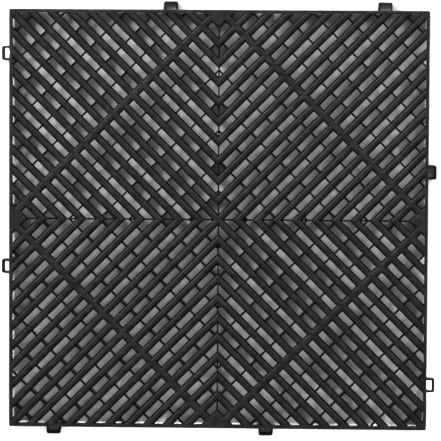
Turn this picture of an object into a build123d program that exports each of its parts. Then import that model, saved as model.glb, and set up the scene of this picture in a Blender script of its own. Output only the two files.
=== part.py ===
from build123d import *
import os
from math import sqrt

# Interlocking drainage floor tile, moulded in one piece in polypropylene.
# Millimetres, +Z up. The origin is the middle of the tile on the floor plane:
# the feet stand on z = 0 and the ribs' tops lie on z = HEIGHT.
#
# The face is four triangular sectors, each turned 90 degrees from the last.
# In every quadrant the ribs run parallel to that quadrant's own diagonal, so
# in a sector they meet on the centre line as nested V shapes. Below, "s" is
# the distance from the middle along a quadrant's ribs and "t" the distance
# across them.

# ---- driving dimensions -------------------------------------------------
SIDE = 399.6            # body, edge to edge; tiles are laid at 400
HEIGHT = 18.0           # feet to walking surface
CORNER_R = 1.6          # plan radius of the four corners
EDGE_R = 1.3            # rounding of the outer top edge

RIB_PITCH = 13.2        # across the ribs
SLOT_W = 5.85           # clear width of the slots between ribs
RIB_Z = 12.0            # underside of the ribs
SHOULDER_R = 3.2        # rounding of the ribs' shoulders
SLOT_ROWS = 10          # slot rows on each side of a diagonal
FRAME_W = 3.2           # solid border strip

WALL = 1.97             # side walls of the ribs, which are channels from below
CHANNEL_Z = 15.4        # ceiling of the channels

HALF_DIAG = 200 / sqrt(2)       # s of the diamond that joins the edge middles
BAND_W = 8.0            # diamond band, same section as a rib

BAR_PITCH = 20.33       # recessed cross bars, counted from the diamond band
BAR_W = 1.8
BAR_Z0, BAR_Z1 = 9.6, 13.9
WEB_W = 1.4             # web along each centre line, under the V points

FOOT_ROWS = (0, 2, 5, 8)        # slot rows whose cross bars run down as feet
FOOT_TOP_W, FOOT_W = 9.4, 6.4   # a foot's width at the top and on the floor

SKIRT_W = 2.2           # border wall below the ribs
SKIRT_Z = 3.0           # its lower edge: water and air pass beneath

# coupling loops, and the tongues that drop into the next tile's loops,
# as offsets along a side
LOOP_AT = (157.6, -46.3)
TONGUE_AT = (-157.6, 46.3)
LOOP_BASE_W, LOOP_TIP_W = 14.1, 13.2
LOOP_OUT = 7.9          # how far a loop stands out from the body
LOOP_BAR = 2.7          # thickness of its outer bar
LOOP_HOLE_W = 9.7       # width of its opening
LOOP_Z0, LOOP_Z1 = 0.6, 8.0
LOOP_R = 1.9            # outer corner radius in plan
LOOP_EDGE_R = 0.5
PAD_W = 17.6            # the wall comes down behind each loop
TONGUE_W, TONGUE_T = 9.0, 4.4
TONGUE_Z0, TONGUE_Z1 = 2.0, 9.0
SLIT_W = 3.2            # slit each side of a tongue, for a loop's legs
SLIT_Z1 = 8.9

C = 1 / sqrt(2)
HALF = SIDE / 2
BAR_S = [HALF_DIAG + j * BAR_PITCH for j in range(-6, 7) if j != 0]
ROW_T = [RIB_PITCH * (k + 0.5) for k in range(SLOT_ROWS)]
INNER_S = HALF_DIAG - BAND_W / 2        # slots stop here, at the band
OUTER_S = HALF_DIAG + BAND_W / 2        # and start again here


def at(s, t, side=-1):
    """Plan point at s along and t across the ribs, in the half of the
    rear sector with x < 0 (side -1) or x > 0 (side +1)."""
    return (side * (s - t) * C, (s + t) * C)


def slots(grow, edge):
    """Cuts the sector's slots from the pending sketch, widened by grow,
    with their outer ends on the line y = edge."""
    for t in ROW_T:
        lo, hi = t - SLOT_W / 2 - grow, t + SLOT_W / 2 + grow
        inner, outer = INNER_S + grow, OUTER_S - grow
        # V slot inside the diamond, open across the centre line
        Polygon(
            at(inner, hi), at(inner, lo), (0, lo / C),
            at(inner, lo, 1), at(inner, hi, 1), (0, hi / C),
            align=None, mode=Mode.SUBTRACT,
        )
        # straight slots outside the diamond
        for side in (-1, 1):
            Polygon(
                at(outer, lo, side), at(outer, hi, side),
                at(edge / C - hi, hi, side), at(edge / C - lo, lo, side),
                align=None, mode=Mode.SUBTRACT,
            )


# the cross bars: the upright plane of each one's face, its length along that
# plane, and where feet hang from it
bars = []
for s in BAR_S:
    for side in (-1, 1):
        # inside the diamond a bar ends on the centre line, outside it in the border wall
        reach = s + BAR_W / 2 if s < HALF_DIAG else (HALF - 0.4) / C - s - BAR_W / 2
        feet = []
        for row in FOOT_ROWS:
            x, y = at(s, ROW_T[row], side)
            beside_tongue = any(abs(x - m) < 11.4 and y > HALF - 12 for m in TONGUE_AT)
            if ROW_T[row] < reach - 3 and abs(x) > 3.2 and y < HALF - 4.5 and not beside_tongue:
                feet.append(ROW_T[row])
        plane = Plane(
            origin=(*at(s - side * BAR_W / 2, 0, side), 0),
            x_dir=(-side * C, C, 0), z_dir=(C, side * C, 0),
        )
        bars.append((plane, reach, feet))

# ---- one sector, with its side's loops and tongues --------------------------
with BuildPart() as sector:
    # walking layer: plate, slots, rounded shoulders
    with BuildSketch(Plane.XY.offset(RIB_Z)):
        Polygon((0, 0), (HALF, HALF), (-HALF, HALF), align=None)
        slots(0, HALF - FRAME_W)
    extrude(amount=HEIGHT - RIB_Z)
    inner_edges = [e for w in sector.faces().sort_by(Axis.Z)[-1].inner_wires() for e in w.edges()]
    fillet([e for e in inner_edges if abs(e.center().Y - HALF + FRAME_W) > 0.01], SHOULDER_R)

    # the ribs' channels, open below
    with BuildSketch(Plane.XY.offset(RIB_Z - 1)):
        Polygon((0, 0), (HALF - SKIRT_W, HALF - SKIRT_W), (-HALF + SKIRT_W, HALF - SKIRT_W), align=None)
        slots(WALL, HALF + 4)
    extrude(amount=CHANNEL_Z - RIB_Z + 1, mode=Mode.SUBTRACT)

    # recessed cross bars, some with feet, and the web on the centre line
    for plane, reach, feet in bars:
        with BuildSketch(plane):
            Polygon((0, BAR_Z0), (reach, BAR_Z0), (reach, BAR_Z1), (0, BAR_Z1), align=None)
            for t in feet:
                Polygon(
                    (t - FOOT_W / 2, 0), (t + FOOT_W / 2, 0),
                    (t + FOOT_TOP_W / 2, BAR_Z0 + 0.5), (t - FOOT_TOP_W / 2, BAR_Z0 + 0.5),
                    align=None,
                )
    extrude(amount=BAR_W)
    with BuildSketch(Plane.XY.offset(BAR_Z0)):
        with Locations((0, (HALF - 1) / 2)):
            Rectangle(WEB_W, HALF - 1)
    extrude(amount=BAR_Z1 - BAR_Z0)

    # border wall, reaching further down behind each loop
    with BuildSketch(Plane.XY.offset(SKIRT_Z)):
        Polygon(
            (HALF, HALF), (-HALF, HALF),
            (-HALF + SKIRT_W, HALF - SKIRT_W), (HALF - SKIRT_W, HALF - SKIRT_W),
            align=None,
        )
    extrude(amount=RIB_Z + 1 - SKIRT_Z)
    with BuildSketch(Plane.XY.offset(LOOP_Z0)):
        with Locations(*[(m, HALF - SKIRT_W / 2) for m in LOOP_AT]):
            Rectangle(PAD_W, SKIRT_W)
    extrude(amount=SKIRT_Z + 1 - LOOP_Z0)

    # tongues: a slit each side, and the wall between thickened
    with BuildSketch(Plane.XY.offset(SKIRT_Z - 1)):
        for m in TONGUE_AT:
            with Locations(*[(m + way * (TONGUE_W + SLIT_W) / 2, HALF - SKIRT_W / 2) for way in (-1, 1)]):
                Rectangle(SLIT_W, SKIRT_W + 1)
    extrude(amount=SLIT_Z1 - SKIRT_Z + 1, mode=Mode.SUBTRACT)
    with BuildSketch(Plane.XY.offset(TONGUE_Z0)):
        with Locations(*[(m, HALF - TONGUE_T / 2) for m in TONGUE_AT]):
            Rectangle(TONGUE_W, TONGUE_T)
    extrude(amount=TONGUE_Z1 - TONGUE_Z0)

    # loops: a rounded frame standing out from the wall
    for m in LOOP_AT:
        with BuildSketch(Plane.XY.offset(LOOP_Z0)) as loop_plan:
            Polygon(
                (m - LOOP_BASE_W / 2, HALF - 1), (m + LOOP_BASE_W / 2, HALF - 1),
                (m + LOOP_TIP_W / 2, HALF + LOOP_OUT), (m - LOOP_TIP_W / 2, HALF + LOOP_OUT),
                align=None,
            )
            fillet(loop_plan.vertices().group_by(Axis.Y)[-1], LOOP_R)
            with Locations((m, HALF + (LOOP_OUT - LOOP_BAR) / 2)):
                RectangleRounded(LOOP_HOLE_W, LOOP_OUT - LOOP_BAR, 0.6, mode=Mode.SUBTRACT)
        extrude(amount=LOOP_Z1 - LOOP_Z0)
    loop_outlines = [
        e for e in sector.edges()
        if abs(e.center().Z - LOOP_Z1) < 0.01 and e.center().Y > HALF + 0.3
        and (e.center().Y > HALF + LOOP_OUT - LOOP_BAR / 2
             or min(abs(e.center().X - m) for m in LOOP_AT) > (LOOP_HOLE_W + LOOP_TIP_W) / 4)
    ]
    fillet(loop_outlines, LOOP_EDGE_R)

# ---- the four sectors fused into one moulding ------------------------------
with BuildPart() as drainage_tile:
    with PolarLocations(0, 4):
        add(sector.part)
    # plan radius of the four corners, then the rounded outer top edge
    corners = [
        e for e in drainage_tile.edges().filter_by(Axis.Z)
        if abs(abs(e.center().X) - HALF) < 0.01 and abs(abs(e.center().Y) - HALF) < 0.01
    ]
    fillet(corners, CORNER_R)
    rim = [
        e for e in drainage_tile.edges()
        if abs(e.center().Z - HEIGHT) < 0.01
        and max(abs(e.center().X), abs(e.center().Y)) > HALF - CORNER_R - 0.1
    ]
    fillet(rim, EDGE_R)

os.makedirs("parts", exist_ok=True)
drainage_tile.part.label = "drainage_tile"
export_step(drainage_tile.part, "parts/drainage_tile.step")
print("solids", len(drainage_tile.solids()), "faces", len(drainage_tile.faces()),
      "feet", 4 * sum(len(b[2]) for b in bars), "volume cm3", round(drainage_tile.part.volume / 1000, 1))
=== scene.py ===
from math import radians

import bpy
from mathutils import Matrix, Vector

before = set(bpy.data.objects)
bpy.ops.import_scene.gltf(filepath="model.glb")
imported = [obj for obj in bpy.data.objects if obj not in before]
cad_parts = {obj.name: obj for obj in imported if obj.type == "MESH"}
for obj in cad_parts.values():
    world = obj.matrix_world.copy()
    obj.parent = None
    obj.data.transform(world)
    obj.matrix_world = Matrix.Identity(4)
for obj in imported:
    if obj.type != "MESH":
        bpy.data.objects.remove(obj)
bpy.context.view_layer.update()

# Interlocking drainage floor tile: one moulding in black polypropylene,
# lying on its feet, seen from above. Metres, +Z up, +Y towards the picture's top.

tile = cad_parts["drainage_tile"]
scene = bpy.context.scene
scene.view_settings.view_transform = "Standard"
scene.view_settings.look = "None"


# ---- small helpers for node materials ---------------------------------------
class Nodes:
    def __init__(self, name):
        self.mat = bpy.data.materials.new(name)
        self.mat.use_nodes = True
        self.tree = self.mat.node_tree
        self.tree.nodes.clear()
        self.out = self.tree.nodes.new("ShaderNodeOutputMaterial")

    def add(self, kind, **values):
        node = self.tree.nodes.new(kind)
        for key, value in values.items():
            if key in node.inputs:
                node.inputs[key].default_value = value
            else:
                setattr(node, key, value)
        return node

    def link(self, a, b):
        self.tree.links.new(a, b)

    def noise(self, where, scale, detail=2.0, rough=0.5, out="Fac"):
        n = self.add("ShaderNodeTexNoise")
        n.inputs["Scale"].default_value = scale
        n.inputs["Detail"].default_value = detail
        n.inputs["Roughness"].default_value = rough
        self.link(where, n.inputs["Vector"])
        return n.outputs[out]

    def ramp(self, fac, stops):
        n = self.add("ShaderNodeValToRGB")
        el = n.color_ramp.elements
        while len(el) < len(stops):
            el.new(0.5)
        for e, (pos, value) in zip(el, stops):
            e.position = pos
            e.color = (*value, 1.0) if isinstance(value, (tuple, list)) else (value, value, value, 1.0)
        self.link(fac, n.inputs["Fac"])
        return n.outputs["Color"]

    def remap(self, value, a, b, c, d):
        n = self.add("ShaderNodeMapRange")
        self.link(value, n.inputs["Value"])
        for key, v in zip(("From Min", "From Max", "To Min", "To Max"), (a, b, c, d)):
            n.inputs[key].default_value = v
        return n.outputs["Result"]

    def math(self, op, a, b):
        n = self.add("ShaderNodeMath", operation=op)
        for i, v in enumerate((a, b)):
            if isinstance(v, (int, float)):
                n.inputs[i].default_value = v
            else:
                self.link(v, n.inputs[i])
        return n.outputs[0]

    def mix(self, fac, a, b, blend="MIX"):
        n = self.add("ShaderNodeMix", data_type="RGBA", blend_type=blend)
        for i, v in ((0, fac), (6, a), (7, b)):
            if isinstance(v, (int, float)):
                n.inputs[i].default_value = v
            elif isinstance(v, tuple):
                n.inputs[i].default_value = (*v, 1.0)
            else:
                self.link(v, n.inputs[i])
        return n.outputs[2]


# ---- black polypropylene -----------------------------------------------------
def polypropylene():
    m = Nodes("black_polypropylene_look")
    coord = m.add("ShaderNodeTexCoord").outputs["Object"]
    shader = m.add("ShaderNodeBsdfPrincipled")
    shader.inputs["IOR"].default_value = 1.49
    shader.inputs["Specular IOR Level"].default_value = 0.16
    m.link(shader.outputs[0], m.out.inputs["Surface"])

    # colour: charcoal black, in faint patches of warmer, cooler and greener black
    cloud = m.noise(coord, 22.0, 3.0, 0.55)
    tint = m.ramp(cloud, [
        (0.30, (0.0124, 0.0111, 0.0138)), (0.42, (0.0148, 0.0134, 0.0136)), (0.50, (0.0208, 0.0172, 0.0150)),
        (0.58, (0.0150, 0.0145, 0.0142)), (0.70, (0.0132, 0.0148, 0.0122)),
    ])
    flow = m.noise(coord, 120.0, 2.0, 0.5)
    tint = m.mix(m.remap(flow, 0.40, 0.66, 0.0, 0.85), tint, (0.0360, 0.0336, 0.0336))
    # dusting of pale scuffs on the tops that feet and wheels meet
    geo = m.add("ShaderNodeNewGeometry")
    up = m.add("ShaderNodeSeparateXYZ")
    m.link(geo.outputs["Normal"], up.inputs[0])
    place = m.add("ShaderNodeSeparateXYZ")
    m.link(coord, place.inputs[0])
    top = m.remap(place.outputs["Z"], 0.0150, 0.0176, 0.0, 1.0)
    speck = m.noise(coord, 900.0, 2.0, 0.6)
    dust = m.math("MULTIPLY", m.remap(speck, 0.56, 0.74, 0.0, 0.5), m.math("MULTIPLY", top, m.remap(up.outputs["Z"], 0.3, 0.95, 0.0, 1.0)))
    # painted shade: the ribs' flanks and all that lies below them are painted darker, as shade in the slots, inside the
    # border only
    across = m.math("MAXIMUM", m.math("ABSOLUTE", place.outputs["X"], 0.0), m.math("ABSOLUTE", place.outputs["Y"], 0.0))
    painted_shade_mask = m.math("MULTIPLY", m.remap(place.outputs["Z"], 0.0168, 0.0179, 0.92, 0.0), m.remap(across, 0.1980, 0.1990, 1.0, 0.35))
    # mix in the painted shade colour (near black) where the mask is set, then the pale dust on the tops
    colour = m.mix(dust, m.mix(painted_shade_mask, tint, (0.0030, 0.0026, 0.0026)), (0.040, 0.0370, 0.0360))
    m.link(colour, shader.inputs["Base Color"])

    # finish: fine moulded grain, satin, roughness varying a little in patches
    grain = m.noise(coord, 2600.0, 2.0, 0.6)
    coarse = m.noise(coord, 420.0, 2.0, 0.5)
    rough = m.math("ADD", m.remap(coarse, 0.3, 0.7, 0.35, 0.44), m.math("MULTIPLY", cloud, 0.06))
    m.link(rough, shader.inputs["Roughness"])
    height = m.math("ADD", m.math("MULTIPLY", grain, 0.5), m.math("MULTIPLY", coarse, 0.5))
    bump = m.add("ShaderNodeBump")
    bump.inputs["Strength"].default_value = 0.35
    bump.inputs["Distance"].default_value = 0.00012
    m.link(height, bump.inputs["Height"])
    m.link(bump.outputs["Normal"], shader.inputs["Normal"])
    return m.mat


tile.data.materials.clear()
tile.data.materials.append(polypropylene())
for polygon in tile.data.polygons:
    polygon.material_index = 0

# ---- floor, light and camera ---------------------------------------------------
floor_mesh = bpy.data.meshes.new("floor")
R = 3.0
floor_mesh.from_pydata([(-R, -R, -0.0002), (R, -R, -0.0002), (R, R, -0.0002), (-R, R, -0.0002)], [], [(0, 1, 2, 3)])
floor = bpy.data.objects.new("floor", floor_mesh)
scene.collection.objects.link(floor)
fl = Nodes("pale_floor")
fs = fl.add("ShaderNodeBsdfDiffuse")
fs.inputs["Color"].default_value = (0.83, 0.80, 0.80, 1.0)
fl.link(fs.outputs[0], fl.out.inputs["Surface"])
floor_mesh.materials.append(fl.mat)

# the studio: a dim even surround, two keys from the back and a faint broad overhead light
world = bpy.data.worlds.new("studio")
scene.world = world
world.use_nodes = True
world.node_tree.nodes["Background"].inputs["Color"].default_value = (1.0, 1.0, 1.0, 1.0)
world.node_tree.nodes["Background"].inputs["Strength"].default_value = 0.18


def softbox(name, place, width, height, power, aim=(0.0, 0.0, 0.0)):
    """A rectangular area light at place, in metres, that faces aim."""
    data = bpy.data.lights.new(name, "AREA")
    data.shape = "RECTANGLE"
    data.size, data.size_y = width, height
    data.energy = power
    lamp = bpy.data.objects.new(name, data)
    scene.collection.objects.link(lamp)
    lamp.location = place
    lamp.rotation_euler = (Vector(aim) - Vector(place)).to_track_quat("-Z", "Y").to_euler()
    return lamp


softbox("key_left", (-0.93, 0.93, 1.13), 0.70, 0.82, 27.0)
softbox("key_right", (0.93, 0.93, 1.20), 0.60, 0.65, 10.3)
softbox("overhead", (0.0, 0.15, 1.80), 1.20, 1.20, 1.0)

# strips that whiten only the floor just outside the tile's four sides
around = bpy.data.collections.new("floor_only")
around.objects.link(floor)
for name, x, y, power in (("strip_front", 0, -1, 1.05), ("strip_right", 1, 0, 0.85), ("strip_left", -1, 0, 0.60), ("strip_back", 0, 1, 0.50)):
    strip = softbox(name, (0.33 * x, 0.33 * y, 0.14), 0.46, 0.04, power, (0.207 * x, 0.207 * y, 0.0))
    strip.light_linking.receiver_collection = around
    strip.visible_camera = False
# and three small lamps that whiten the floor seen through the open loops
for name, x, y, power in (
    ("lamp_left_rear", -0.2024, 0.1576, 0.0040), ("lamp_left_front", -0.2024, -0.0463, 0.0022), ("lamp_right_front", 0.2024, -0.1576, 0.0040),
):
    lamp = softbox(name, (x, y, 0.035), 0.008, 0.004, power, (x, y, 0.0))
    lamp.data.spread = radians(50)
    lamp.light_linking.receiver_collection = around
    lamp.visible_camera = False

cam_data = bpy.data.cameras.new("camera")
cam = bpy.data.objects.new("camera", cam_data)
scene.collection.objects.link(cam)
cam_data.sensor_fit = "HORIZONTAL"
cam_data.sensor_width = 36.0
cam_data.lens = 250.0
cam_data.clip_end = 20.0
cam.location = (0.10383, 0.19769, 2.92624)
cam.rotation_euler = (radians(-3.8822), radians(2.0197), radians(0.3127))
scene.camera = cam
